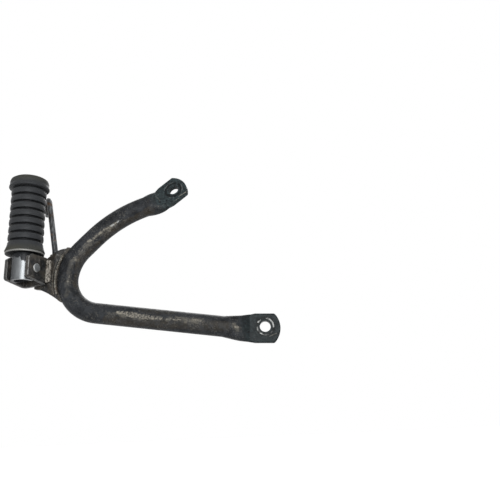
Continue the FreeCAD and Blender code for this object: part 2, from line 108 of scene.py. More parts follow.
class RubberSizes(bpy.types.PropertyGroup):
    rib_radius: length_property("Rib radius", "Radius over the ribs", 16.8 * MM)
    rib_crown: length_property("Rib crown", "How far a rib's edges stay below its middle", 0.3 * MM)
    flange_radius: length_property("Flange radius", "Radius of the flange at the base", 18.8 * MM)
    base_height: length_property("Base height", "Height of the flange at the base", 1.9 * MM)
    base_taper: length_property("Base taper", "Height over which the base narrows", 6.0 * MM)
    first_groove: length_property("First groove", "Height of the lowest groove's middle", 10.7 * MM)
    groove_pitch: length_property("Groove pitch", "Distance from groove to groove", 7.9 * MM)
    groove_width: length_property("Groove width", "Width of a groove at its mouth", 2.6 * MM)
    groove_depth: length_property("Groove depth", "Depth of a groove", 2.4 * MM)
    neck_radius: length_property("Neck radius", "Radius under the head", 15.2 * MM)
    head_radius: length_property("Head radius", "Radius of the head's lower lip", 19.4 * MM)
    head_taper: length_property("Head taper", "Height over which the head widens", 1.4 * MM)
    head_rim: length_property("Head rim", "Height of the head's rim", 10.7 * MM)
    head_hollow: length_property("Head hollow", "Depth of the shallow hollow round the head", 0.25 * MM)
    head_slope: length_property("Head slope", "Inset of the head's shoulder", 2.0 * MM)
    lip_rounding: length_property("Lip rounding", "Rounding of each moulded lip", 0.45 * MM)
    wobble: length_property("Wobble", "Unevenness of the worn ribs", 0.16 * MM)
    groove_count: bpy.props.IntProperty(name="Grooves", description="Number of grooves",
                                        default=7, min=1)


class ClevisSizes(bpy.types.PropertyGroup):
    plate: length_property("Plate", "Thickness of the folded plate", 4.0 * MM)
    inner_half: length_property("Inner half width", "From the middle to an ear's inside", 11.8 * MM)
    bend_radius: length_property("Bend radius", "Outer radius of each fold", 5.0 * MM)
    web_front: length_property("Web front", "From the peg's axis to the web", 12.8 * MM)
    ear_front: length_property("Ear front", "From the peg's axis to the ears' front edge", 9.2 * MM)
    ear_top: length_property("Ear top", "Height of the ears above the pin", 13.0 * MM)
    ear_bottom: length_property("Ear bottom", "Depth of the ears' front below the pin", 9.8 * MM)
    web_bottom: length_property("Web bottom", "Depth of the web below the pin", 14.4 * MM)
    web_crown: length_property("Web crown", "Sag of the web's lower edge", 1.3 * MM)
    corner_rise: length_property("Corner rise", "Height of the cut off top corner", 2.7 * MM)
    corner_run: length_property("Corner run", "Depth of the cut off top corner", 3.8 * MM)
    toe_rounding: length_property("Toe rounding", "Radius of the ears' lower corner", 2.4 * MM)
    edge_rounding: length_property("Edge rounding", "Rounding of the plate's worn edges", 0.5 * MM)
    worn_strip: length_property("Worn strip", "Depth of the worn strip at the ears' front", 1.2 * MM)


class WeldSizes(bpy.types.PropertyGroup):
    ripple_pitch: length_property("Ripple pitch", "Distance from ripple to ripple", 1.7 * MM)
    ripple_height: length_property("Ripple height", "Height of each ripple", 0.32 * MM)
    roughness: length_property("Unevenness", "Random unevenness of a bead", 0.22 * MM)


class SmallPartSizes(bpy.types.PropertyGroup):
    collar_radius: length_property("Collar radius", "Outer radius of the collar", 18.2 * MM)
    collar_rounding: length_property("Collar rounding", "Rounding of the collar's rim", 0.4 * MM)
    rivet_head_radius: length_property("Rivet head", "Radius of a rivet head", 4.3 * MM)
    rivet_head_height: length_property("Rivet head height", "Height of a rivet head", 1.4 * MM)
    rivet_dish: length_property("Rivet dish", "Depth of the hammered dish in a head", 0.25 * MM)


class StageSettings(bpy.types.PropertyGroup):
    camera_place: bpy.props.FloatVectorProperty(
        name="Camera place", description="Where the camera stands",
        default=(-0.0114, -0.5180, -0.0705), size=3, unit="LENGTH", subtype="TRANSLATION")
    camera_pitch: angle_property("Camera pitch", "How far the camera looks up", 16.0)
    camera_roll: angle_property("Camera roll", "How far the camera leans", 2.5)
    focal_length: bpy.props.FloatProperty(name="Focal length", description="Lens in millimetres",
                                          default=38.59)
    floor_height: length_property("Floor height", "Height of the floor", -0.17)
    floor_reach: length_property("Floor reach", "From the floor's middle to its edge", 1.2)
    floor_glow: bpy.props.FloatProperty(name="Floor glow", description="Glow under the part",
                                        default=0.6)
    glow_start: length_property("Glow start", "How far out the floor's glow starts to rise", 0.30)
    glow_end: length_property("Glow end", "How far out the floor glows pure white", 0.75)
    room_light: bpy.props.FloatProperty(name="Room light", description="Strength of the even light",
                                        default=0.22)


class FinishColours(bpy.types.PropertyGroup):
    paint: colour_property("Paint", "Charcoal paint", (0.0185, 0.0200, 0.0222))
    brown: colour_property("Brown", "Old dirt and thin rust on the paint", (0.040, 0.0345, 0.0270))
    # Also the colour of the painted highlights on the tube.
    scuff: colour_property("Scuff", "Bare and chalky scuffs", (0.27, 0.25, 0.21))
    lug: colour_property("Lug", "Greenish paint on the lugs", (0.0125, 0.0172, 0.0182))
    steel: colour_property("Steel", "Bare worn steel", (0.150, 0.158, 0.163))
    weld: colour_property("Weld", "Bare weld metal", (0.26, 0.24, 0.21))
    rust: colour_property("Rust", "Thin rust", (0.070, 0.040, 0.022))
    rubber: colour_property("Rubber", "Old rubber", (0.0330, 0.0352, 0.0392))
    dust: colour_property("Dust", "Dust on the rubber", (0.061, 0.061, 0.047))


PROPERTY_GROUPS = {
    "foot_peg_rubber": RubberSizes,
    "foot_peg_clevis": ClevisSizes,
    "foot_peg_welds": WeldSizes,
    "foot_peg_small_parts": SmallPartSizes,
    "foot_peg_stage": StageSettings,
    "foot_peg_colours": FinishColours,
}


# Mesh helpers

def finish_piece(name, bm, body, nodes, material, sharp_degrees=35.0):
    """Turns a bmesh into a piece that rides on a body and stands for CAD nodes."""
    sharp = math.radians(sharp_degrees)
    for face in bm.faces:
        face.smooth = True
    for edge in bm.edges:
        edge.smooth = edge.calc_face_angle(0.0) < sharp
    mesh = bpy.data.meshes.new(name)
    bm.to_mesh(mesh)
    bm.free()
    piece = bpy.data.objects.new(name, mesh)
    bpy.context.scene.collection.objects.link(piece)
    mesh.materials.append(material)
    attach(piece, body)
    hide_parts(*nodes)
    return piece


def spun_profile(points, steps):
    """Surface from a profile of (radius, height) turned about the Z axis."""
    bm = bmesh.new()
    verts = [bm.verts.new((radius, 0, height)) for radius, height in points]
    edges = [bm.edges.new(pair) for pair in zip(verts, verts[1:])]
    bmesh.ops.spin(bm, geom=verts + edges, cent=(0, 0, 0), axis=(0, 0, 1),
                   angle=2 * math.pi, steps=steps, use_merge=True)
    bmesh.ops.remove_doubles(bm, verts=bm.verts, dist=1e-6)
    bmesh.ops.recalc_face_normals(bm, faces=bm.faces)
    return bm


def rounded_profile(points, radius, segments):
    """Profile whose inner corners are rounded, as a list of (radius, height)."""
    rounded = [points[0]]
    for before, corner, after in zip(points, points[1:], points[2:]):
        corner, before, after = Vector(corner), Vector(before), Vector(after)
        reach = min(radius, (before - corner).length * 0.45, (after - corner).length * 0.45)
        start = corner + (before - corner).normalized() * reach
        end = corner + (after - corner).normalized() * reach
        for step in range(segments + 1):
            t = step / segments
            rounded.append(tuple(start.lerp(corner, t).lerp(corner.lerp(end, t), t)))
    rounded.append(points[-1])
    return rounded


def whole(bm):
    return [*bm.verts, *bm.edges, *bm.faces]


def mark_rim(bm, radius):
    """Marks as worn what lies farther than a radius from the Z axis; on the collar this rim is also painted bright
    as a painted highlight.
    """
    wear = bm.faces.layers.float.new("edge_wear")
    for face in bm.faces:
        centre = face.calc_center_median()
        face[wear] = float(math.hypot(centre.x, centre.y) > radius)


# Node helpers

def add_node(tree, kind, sockets=None, **settings):
    """Adds a shader node, sets its properties, and fills or links its sockets."""
    node = tree.nodes.new(kind)
    for name, value in settings.items():
        setattr(node, name, value)
    for key, value in (sockets or {}).items():
        if isinstance(value, bpy.types.NodeSocket):
            tree.links.new(value, node.inputs[key])
        else:
            node.inputs[key].default_value = value
    return node


def math_node(tree, operation, *values):
    return add_node(tree, "ShaderNodeMath", dict(enumerate(values)), operation=operation).outputs[0]


def vector_node(tree, operation, *values):
    node = add_node(tree, "ShaderNodeVectorMath", dict(enumerate(values)), operation=operation)
    return node.outputs["Value" if operation in ("LENGTH", "DOT_PRODUCT", "DISTANCE") else "Vector"]


def mix_colours(tree, factor, first, second):
    first, second = (colour if isinstance(colour, bpy.types.NodeSocket) else (*colour, 1)
                     for colour in (first, second))
    node = add_node(tree, "ShaderNodeMix", {0: factor, 6: first, 7: second}, data_type="RGBA")
    return node.outputs[2]


def smooth_range(tree, value, low, high, start=0.0, end=1.0):
    node = add_node(tree, "ShaderNodeMapRange", {0: value, 1: low, 2: high, 3: start, 4: end},
                    interpolation_type="SMOOTHSTEP")
    return node.outputs[0]


def make_group(name, vectors, numbers):
    """Shader node group that gives a mask; returns its tree and the sockets it is given."""
    tree = bpy.data.node_groups.new(name, "ShaderNodeTree")
    for key in vectors:
        tree.interface.new_socket(key, in_out="INPUT", socket_type="NodeSocketVector")
    for key, default in numbers.items():
        socket = tree.interface.new_socket(key, in_out="INPUT", socket_type="NodeSocketFloat")
        socket.default_value = default
    tree.interface.new_socket("Mask", in_out="OUTPUT", socket_type="NodeSocketFloat")
    return tree, tree.nodes.new("NodeGroupInput").outputs


def give_mask(tree, mask):
    """Links a group's mask to its output and returns the group."""
    tree.links.new(mask, tree.nodes.new("NodeGroupOutput").inputs["Mask"])
    return tree


def patches_group():
    """Irregular patches: a noise cut at a level."""
    tree, given = make_group("Worn patches", ["Vector"],
                             {"Scale": 50.0, "Level": 0.5, "Softness": 0.05})
    noise = add_node(tree, "ShaderNodeTexNoise",
                     {"Vector": given["Vector"], "Scale": given["Scale"],
                      "Detail": 6.0, "Roughness": 0.62})
    low = math_node(tree, "SUBTRACT", given["Level"], given["Softness"])
    high = math_node(tree, "ADD", given["Level"], given["Softness"])
    return give_mask(tree, smooth_range(tree, noise.outputs["Fac"], low, high))


def broken_up(tree, edge, cover, softness, noise_sockets):
    """A mask broken up by a noise, with more of it left where the cover is high."""
    noise = add_node(tree, "ShaderNodeTexNoise", noise_sockets).outputs["Fac"]
    level = math_node(tree, "SUBTRACT", 1.0, cover)
    broken = smooth_range(tree, math_node(tree, "SUBTRACT", noise, level), -0.05, softness)
    return math_node(tree, "MULTIPLY", broken, edge)


def streak_group():
    """Scuffed streak along a line between two points, broken up by a noise."""
    tree, given = make_group("Scuffed streak", ["Vector", "From", "To"],
                             {"Width": 0.003, "Scale": 400.0, "Cover": 0.5})
    along = vector_node(tree, "SUBTRACT", given["To"], given["From"])
    offset = vector_node(tree, "SUBTRACT", given["Vector"], given["From"])
    share = add_node(tree, "ShaderNodeMath",
                     {0: vector_node(tree, "DOT_PRODUCT", offset, along),
                      1: vector_node(tree, "DOT_PRODUCT", along, along)},
                     operation="DIVIDE", use_clamp=True).outputs[0]
    scaled = add_node(tree, "ShaderNodeVectorMath", {0: along, "Scale": share},
                      operation="SCALE").outputs["Vector"]
    nearest = vector_node(tree, "ADD", given["From"], scaled)
    distance = vector_node(tree, "DISTANCE", given["Vector"], nearest)
    edge = smooth_range(tree, math_node(tree, "DIVIDE", distance, given["Width"]),
                        0.15, 1.0, 1.0, 0.0)
    cover = math_node(tree, "MULTIPLY", edge, given["Cover"])
    return give_mask(tree, broken_up(tree, edge, cover, 0.13, {
        "Vector": given["Vector"], "Scale": given["Scale"], "Detail": 5.0, "Roughness": 0.7}))


def ring_group():
    """Ring scratched round a bolt hole by a washer."""
    tree, given = make_group("Washer ring", ["Vector", "Centre"],
                             {"Radius": 0.008, "Width": 0.0008, "Cover": 0.5})
    distance = vector_node(tree, "DISTANCE", given["Vector"], given["Centre"])
    away = math_node(tree, "ABSOLUTE", math_node(tree, "SUBTRACT", distance, given["Radius"]))
    edge = smooth_range(tree, math_node(tree, "DIVIDE", away, given["Width"]), 0.3, 1.0, 1.0, 0.0)
    return give_mask(tree, broken_up(tree, edge, given["Cover"], 0.08, {
        "Vector": given["Vector"], "Scale": 160.0, "Detail": 3.0}))


class Finish:
    """A material being built: its tree, its coordinates and its shader."""

    def __init__(self, name, metallic, roughness):
        self.material = bpy.data.materials.new(name)
        self.material.use_nodes = True
        self.tree = self.material.node_tree
        self.shader = next(n for n in self.tree.nodes if n.type == "BSDF_PRINCIPLED")
        self.shader.inputs["Metallic"].default_value = metallic
        self.shader.inputs["Roughness"].default_value = roughness
        self.place = add_node(self.tree, "ShaderNodeTexCoord").outputs["Object"]

    def mask(self, group, **sockets):
        """Mask of a shared node group, whose sockets are given by name."""
        named = {name.capitalize(): value for name, value in sockets.items()}
        return add_node(self.tree, "ShaderNodeGroup", {"Vector": self.place, **named},
                        node_tree=GROUPS[group]).outputs["Mask"]

    def patches(self, scale, level, softness):
        return self.mask("patches", scale=scale, level=level, softness=softness)

    def attribute(self, name):
        return add_node(self.tree, "ShaderNodeAttribute", attribute_name=name).outputs["Fac"]

    def stretched(self, scale):
        return add_node(self.tree, "ShaderNodeMapping",
                        {"Vector": self.place, "Scale": scale}).outputs["Vector"]

    def noise(self, scale, detail, vector=None):
        sockets = {"Vector": vector or self.place, "Scale": scale, "Detail": detail}
        return add_node(self.tree, "ShaderNodeTexNoise", sockets).outputs["Fac"]

    def height(self):
        return add_node(self.tree, "ShaderNodeSeparateXYZ", {0: self.place}).outputs["Z"]

    def add(self, *values):
        total = values[0]
        for value in values[1:]:
            total = math_node(self.tree, "ADD", total, value)
        return total

    def times(self, first, second):
        return math_node(self.tree, "MULTIPLY", first, second)

    def most(self, *values):
        total = values[0]
        for value in values[1:]:
            total = math_node(self.tree, "MAXIMUM", total, value)
        return total

    def mix(self, factor, first, second):
        return mix_colours(self.tree, factor, first, second)

    def ramp(self, value, low, high, start=0.0, end=1.0):
        return smooth_range(self.tree, value, low, high, start, end)

    def set(self, socket, value):
        self.tree.links.new(value, self.shader.inputs[socket])

    def bump(self, height, distance, strength):
        node = add_node(self.tree, "ShaderNodeBump",
                        {"Height": height, "Distance": distance, "Strength": strength})
        self.set("Normal", node.outputs["Normal"])


def colours():
    return bpy.context.scene.foot_peg_colours


def toned(colour, level):
    """A colour made darker or lighter by a factor."""
    return [min(1.0, channel * level) for channel in colour]


GROUPS = {}


def build_groups():
    GROUPS.update(patches=patches_group(), streak=streak_group(), ring=ring_group())


# Scuffs on the tube, from the photograph, and painted highlights on the lugs' creases and ends: start, end, half
# width, grain, cover and strength.
TUBE_SCUFFS_AND_HIGHLIGHTS = (
    ((-0.1370, -0.0121, 0.1110), (-0.1500, -0.0121, 0.1035), 0.0036, 640.0, 0.55, 0.9),
    ((-0.1430, -0.0125, 0.1095), (-0.1600, -0.0128, 0.0985), 0.0034, 560.0, 0.525, 0.9),
    ((-0.1560, -0.0128, 0.1015), (-0.1711, -0.0128, 0.0895), 0.0046, 420.0, 0.53, 0.75),
    ((-0.1711, -0.0125, 0.0909), (-0.1800, -0.0124, 0.0790), 0.0048, 330.0, 0.52, 0.45),
    ((-0.1825, -0.0122, 0.0725), (-0.1845, -0.0122, 0.0605), 0.0028, 420.0, 0.56, 0.50),
    ((-0.1880, -0.0122, 0.0560), (-0.1893, -0.0123, 0.0505), 0.0024, 380.0, 0.58, 0.55),
    ((-0.1400, -0.0128, 0.0185), (-0.1230, -0.0128, 0.0165), 0.0042, 560.0, 0.55, 1.0),
    ((-0.1320, -0.0128, 0.0150), (-0.1060, -0.0128, 0.0110), 0.0040, 600.0, 0.53, 0.9),
    ((-0.1250, -0.0128, 0.0160), (-0.0980, -0.0128, 0.0105), 0.0042, 620.0, 0.52, 1.0),
    ((-0.0930, -0.0128, 0.0100), (-0.0800, -0.0128, 0.0085), 0.0026, 700.0, 0.51, 0.9),
    ((-0.0690, -0.0128, 0.0085), (-0.0610, -0.0128, 0.0070), 0.0026, 700.0, 0.50, 0.9),
    ((-0.0285, -0.0108, 0.0006), (-0.0262, -0.0102, -0.0004), 0.0034, 420.0, 0.56, 1.0),
    ((-0.1054, -0.0072, 0.1378), (-0.1008, -0.0090, 0.1321), 0.0014, 300.0, 0.60, 0.35),
    ((-0.1008, -0.0090, 0.1321), (-0.1020, -0.0113, 0.1240), 0.0014, 300.0, 0.60, 0.40),
    ((-0.0817, -0.0099, 0.1351), (-0.0740, -0.0098, 0.1396), 0.0010, 700.0, 0.60, 0.9),
    ((-0.0965, -0.0090, 0.1242), (-0.0800, -0.0100, 0.1340), 0.0008, 300.0, 0.62, 0.45),
    ((0.0035, -0.0060, -0.0098), (0.0105, -0.0060, -0.0070), 0.0009, 500.0, 0.58, 0.5),
)


# Brown undersides of the arms: start, end and strength.
BROWN_SIDES = (
    ((-0.1100, -0.0100, 0.1205), (-0.1420, -0.0100, 0.1030), 0.9),
    ((-0.1420, -0.0100, 0.1030), (-0.1790, -0.0100, 0.0690), 1.0),
    ((-0.1790, -0.0100, 0.0690), (-0.1800, -0.0100, 0.0480), 0.9),
    ((-0.1500, -0.0100, 0.0120), (-0.1000, -0.0100, 0.0060), 0.7),
    ((-0.1160, -0.0090, 0.0200), (-0.0900, -0.0090, 0.0170), 0.5),
    ((-0.1000, -0.0110, 0.0060), (-0.0380, -0.0110, 0.0010), 0.6),
)

# Sides of the tube with a painted highlight, partly also scuffed paler: start, end and strength.
HIGHLIGHT_AND_SCUFF_SIDES = (
    ((-0.1340, -0.0120, 0.1130), (-0.1600, -0.0120, 0.0970), 0.90),
    ((-0.1600, -0.0120, 0.0970), (-0.1850, -0.0122, 0.0700), 0.65),
    ((-0.1860, -0.0122, 0.0700), (-0.1900, -0.0124, 0.0380), 0.30),
    ((-0.1500, -0.0124, 0.0165), (-0.1100, -0.0130, 0.0125), 0.80),
    ((-0.1100, -0.0130, 0.0125), (-0.0600, -0.0129, 0.0070), 0.80),
    ((-0.0300, -0.0105, 0.0010), (-0.0240, -0.0100, -0.0030), 0.60),
)


def tube_finish():
    """Old charcoal paint: brown dirt, chalky scuffs, ringed bolt holes and greener lugs, with painted highlights
    on the arms, creases and lug ends, and painted light and shade on the lugs.
    """
    paint = Finish("Worn charcoal paint", 0.0, 0.42)
    shade = colours()

    def strokes(segments, width, scale, cover):
        return paint.most(*(paint.times(strength, paint.mask("streak", **{
            "from": start, "to": end, "width": width, "scale": scale, "cover": cover}))
            for start, end, strength in segments))

    colour = paint.mix(paint.patches(38.0, 0.50, 0.16), toned(shade.paint, 0.6),
                       toned(shade.paint, 1.5))
    colour = paint.mix(strokes(BROWN_SIDES, 0.0095, 70.0, 0.95), colour, shade.brown)
    # Painted highlight along the middle of the arms, mixed with paler scuffed paint.
    colour = paint.mix(strokes(HIGHLIGHT_AND_SCUFF_SIDES, 0.0085, 130.0, 0.55), colour,
                       toned(shade.scuff, 0.5))
    mottle = paint.patches(190.0, 0.52, 0.12)
    colour = paint.mix(paint.times(mottle, 0.45), colour, toned(shade.paint, 2.6))
    dark = paint.patches(300.0, 0.57, 0.06)
    colour = paint.mix(paint.times(dark, 0.40), colour, toned(shade.paint, 0.35))
    grit = paint.times(paint.patches(760.0, 0.58, 0.05), paint.patches(70.0, 0.50, 0.10))
    colour = paint.mix(paint.times(grit, 0.4), colour, toned(shade.scuff, 0.6))
    lower, upper = MOUNTS["lower_bolt_hole"], MOUNTS["upper_bolt_hole"]
    # Painted light and shade: the lugs share one greenish paint, toned darker on the lower lug and lighter on the
    # upper lug.
    for mount, tint in ((lower, 0.85), (upper, 1.65)):
        distance = vector_node(paint.tree, "DISTANCE", paint.place, Vector(mount["pos_m"]))
        lug = paint.mix(paint.patches(330.0, 0.53, 0.09), toned(shade.lug, tint),
                        toned(shade.lug, tint * 2.1))
        lug = paint.mix(paint.patches(240.0, 0.60, 0.05), lug, toned(shade.paint, 0.4))
        colour = paint.mix(paint.ramp(distance, 0.019, 0.030, 0.85, 0.0), colour, lug)
    # Scuffs, and painted highlights on the lugs' creases and ends, one mask a row.
    scuffs = [strokes([(start, end, strength)], width, scale, cover)
              for start, end, width, scale, cover, strength in TUBE_SCUFFS_AND_HIGHLIGHTS]
    # Middles of the washer marks, on the lugs' outer faces.
    lower_face = Vector(lower["pos_m"]) + Vector((0, -6 * MM, 0))
    upper_face = Vector(upper["pos_m"]) + Vector(upper["axis"]) * (3 * MM)
    prints = [paint.mask("ring", centre=face, radius=0.0082, width=0.0019, cover=0.62)
              for face in (lower_face, upper_face)]
    colour = paint.mix(paint.times(paint.most(*prints), 0.8), colour, toned(shade.paint, 0.25))
    lower_ring = paint.mask("ring", centre=lower_face, radius=0.0078, width=0.0010, cover=0.49)
    upper_ring = paint.mask("ring", centre=upper_face, radius=0.0096, width=0.0008, cover=0.42)
    bare = paint.most(*scuffs, paint.times(paint.patches(520.0, 0.70, 0.05), 0.5))
    colour = paint.mix(paint.times(bare, 0.9), colour, shade.scuff)
    # Painted highlight: a glint along the upper arm, joined by bright rings round the bolt holes.
    glint = strokes([((-0.1400, -0.0121, 0.1112), (-0.1490, -0.0119, 0.1060), 1.0)],
                    0.0030, 300.0, 0.55)
    bright = paint.most(glint, lower_ring, paint.times(upper_ring, 0.2))
    colour = paint.mix(paint.times(bright, 0.85), colour, (0.42, 0.43, 0.42))
    paint.set("Base Color", colour)
    paint.shader.inputs["Specular IOR Level"].default_value = 0.07
    grain = paint.noise(260.0, 5.0)
    rough = paint.ramp(paint.add(grain, paint.times(bare, 0.4)), 0.25, 1.0, 0.34, 0.62)
    paint.set("Roughness", rough)
    dents = paint.noise(45.0, 2.0)
    height = paint.add(paint.times(grain, 0.35), dents, paint.times(bare, -0.35))
    paint.bump(height, 0.0006, 0.35)
    return paint.material


def plate_finish(name, speck_level):
    """Dirty dark paint on plate, worn to bare metal in specks and on edges marked as worn."""
    paint = Finish(name, 0.0, 0.45)
    shade = colours()
    colour = paint.mix(paint.patches(90.0, 0.5, 0.12), toned(shade.paint, 0.62), shade.brown)
    specks = paint.patches(420.0, speck_level, 0.04)
    edges = paint.times(paint.attribute("edge_wear"), paint.patches(330.0, 0.45, 0.09))
    worn = paint.most(paint.times(specks, 0.6), edges)
    haze = paint.patches(210.0, 0.52, 0.10)
    colour = paint.mix(paint.times(haze, 0.30), colour, (0.085, 0.080, 0.074))
    colour = paint.mix(worn, colour, (0.20, 0.20, 0.195))
    paint.set("Base Color", colour)
    paint.shader.inputs["Specular IOR Level"].default_value = 0.25
    paint.set("Metallic", paint.times(worn, 0.55))
    grain = paint.noise(420.0, 5.0)
    paint.set("Roughness", paint.ramp(grain, 0.3, 0.7, 0.32, 0.55))
    paint.bump(paint.add(grain, paint.times(worn, -0.6), paint.noise(80.0, 3.0)), 0.0004, 0.5)
    return paint.material


def weld_finish(name, bare_level, brightness, highlight_strength):
    """Weld beads: mottled bare metal with sunken patches of dark scale, and a painted highlight on the side of
    each bead that faces front and a little to the left.
    """
    weld = Finish(name, 0.35, 0.5)
    shade = colours()
    scale = weld.patches(480.0, 1 - bare_level, 0.07)
    colour = weld.mix(scale, toned(shade.weld, brightness), toned(shade.brown, 1.3))
    rust = weld.patches(120.0, 0.60, 0.06)
    colour = weld.mix(weld.times(rust, 0.45), colour, shade.rust)
    # Painted highlight: points facing front and a little to the left are painted bright, broken up in patches.
    highlight_side = weld.ramp(weld.attribute("highlight_side"), 0.86, 0.99)
    painted_highlight = weld.times(highlight_side, weld.patches(260.0, 0.42, 0.10))
    colour = weld.mix(weld.times(painted_highlight, highlight_strength), colour, (0.40, 0.40, 0.34))
    weld.set("Base Color", colour)
    grain = weld.noise(700.0, 5.0)
    weld.set("Roughness", weld.ramp(grain, 0.3, 0.7, 0.35, 0.65))
    weld.bump(weld.add(grain, weld.times(scale, -0.5)), 0.0003, 0.6)
    return weld.material


def steel_finish(name, tint, roughness, paint_zone, shade_zone=None):
    """Bare worn steel with remnants of paint, and with painted shade on one side if it has a zone.

    The remnants grow denser between the two heights of paint_zone. The painted shade thins out
    between the two distances of the last zone, which are measured along the pin.
    """
    steel = Finish(name, 0.9, roughness)
    shade = colours()
    base = toned(shade.steel, tint)
    cloudy = steel.noise(1.0, 5.0, steel.stretched((170.0, 170.0, 60.0)))
    colour = steel.mix(steel.ramp(cloudy, 0.35, 0.7), base, toned(base, 1.5))
    zone = steel.ramp(steel.height(), *paint_zone)
    level = steel.ramp(zone, 0.0, 1.0, 0.70, 0.38)
    remnants = steel.patches(170.0, level, 0.02)
    edge = steel.attribute("edge_wear")
    colour = steel.mix(steel.times(edge, 0.8), colour, (0.60, 0.59, 0.56))
    colour = steel.mix(remnants, colour, shade.paint)
    remnants_and_shade = remnants
    # Painted shade: the stem is darkened towards the paint colour on its side towards the far ear, as if in the
    # ear's shadow.
    if shade_zone:
        offset = vector_node(steel.tree, "SUBTRACT", steel.place, PIVOT)
        along = vector_node(steel.tree, "DOT_PRODUCT", offset, PIN_DIRECTION)
        painted_shade = steel.times(steel.ramp(along, *shade_zone, 0.95, 0.0),
                           steel.ramp(cloudy, 0.3, 0.6, 0.75, 1.0))
        colour = steel.mix(painted_shade, colour, toned(shade.paint, 1.3))
        remnants_and_shade = steel.most(remnants, painted_shade)
    steel.set("Base Color", colour)
    steel.set("Metallic", steel.ramp(remnants_and_shade, 0.0, 1.0, 0.9, 0.0))
    steel.shader.inputs["Specular IOR Level"].default_value = 0.12
    steel.set("Roughness", steel.ramp(cloudy, 0.3, 0.75, roughness * 0.8, roughness * 1.3))
    steel.bump(steel.add(cloudy, steel.times(remnants, 0.6), steel.noise(500.0, 4.0)), 0.0002, 0.35)
    return steel.material


def rim_finish(name):
    """Dark steel ring, darkened all over as painted shade, with its rim painted bright: a painted highlight that
    also stands for worn bare steel.
    """
    ring = Finish(name, 0.0, 0.55)
    # Painted highlight on the rim, which also stands for worn bare steel.
    painted_highlight = ring.times(ring.attribute("edge_wear"), ring.ramp(ring.noise(180.0, 5.0), 0.10, 0.42))
    # Painted shade: the ring's body is painted dark.
    dark = toned(colours().paint, 0.35)
    bright = (0.205, 0.205, 0.195)
    ring.set("Base Color", ring.mix(painted_highlight, dark, bright))
    ring.set("Metallic", ring.times(painted_highlight, 0.5))
    ring.shader.inputs["Specular IOR Level"].default_value = 0.10
    ring.bump(ring.noise(500.0, 4.0), 0.0002, 0.4)
    return ring.material


def rod_finish():
    """Grey worn steel rod with more rust towards its top."""
    rod = Finish("Worn rod steel", 0.6, 0.45)
    shade = colours()
    low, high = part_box("strap_hook")
    base = toned(shade.steel, 0.50)
    streaks = rod.noise(1.0, 4.0, rod.stretched((500.0, 500.0, 60.0)))
    colour = rod.mix(rod.ramp(streaks, 0.35, 0.7), toned(base, 0.35), toned(base, 1.9))
    level = rod.ramp(rod.height(), low.z, high.z, 0.66, 0.54)
    rust = rod.patches(130.0, level, 0.07)
    colour = rod.mix(rust, colour, shade.rust)
    rod.set("Base Color", colour)
    rod.set("Metallic", rod.ramp(rust, 0.0, 1.0, 0.6, 0.0))
    rod.set("Roughness", rod.ramp(streaks, 0.3, 0.7, 0.35, 0.6))
    rod.bump(rod.add(streaks, rust), 0.0002, 0.5)
    return rod.material


def rubber_finish():
    """Matt charcoal rubber, dusty on its head and at its base, with painted shade darkening its grooves."""
    rubber = Finish("Old ribbed rubber", 0.0, 0.62)
    shade = colours()
    low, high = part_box("peg_rubber")
    height = rubber.height()
    cloud = rubber.noise(60.0, 5.0)
    head = rubber.ramp(height, high.z - 0.012, high.z, 0.0, 0.85)
    base = rubber.ramp(height, low.z + 0.009, low.z, 0.0, 0.70)
    dust = rubber.times(rubber.most(head, base, 0.10), rubber.ramp(cloud, 0.30, 0.70, 0.45, 1.0))
    colour = rubber.mix(dust, shade.rubber, shade.dust)
    specks = rubber.patches(600.0, 0.69, 0.04)
    colour = rubber.mix(rubber.times(specks, 0.35), colour, shade.dust)
    # Painted shade: the grooves' depths are painted dark.
    groove_shade = rubber.ramp(rubber.attribute("groove_shade"), 0.05, 0.9)
    colour = rubber.mix(groove_shade, colour, toned(shade.rubber, 0.22))
    rubber.set("Base Color", colour)
    grain = rubber.times(rubber.noise(900.0, 4.0), 0.5)
    rubber.set("Roughness", rubber.ramp(rubber.add(grain, dust), 0.2, 0.9, 0.40, 0.72))
    rubber.bump(rubber.add(grain, cloud), 0.00025, 0.4)
    rubber.shader.inputs["Specular IOR Level"].default_value = 0.08
    return rubber.material


# Operators

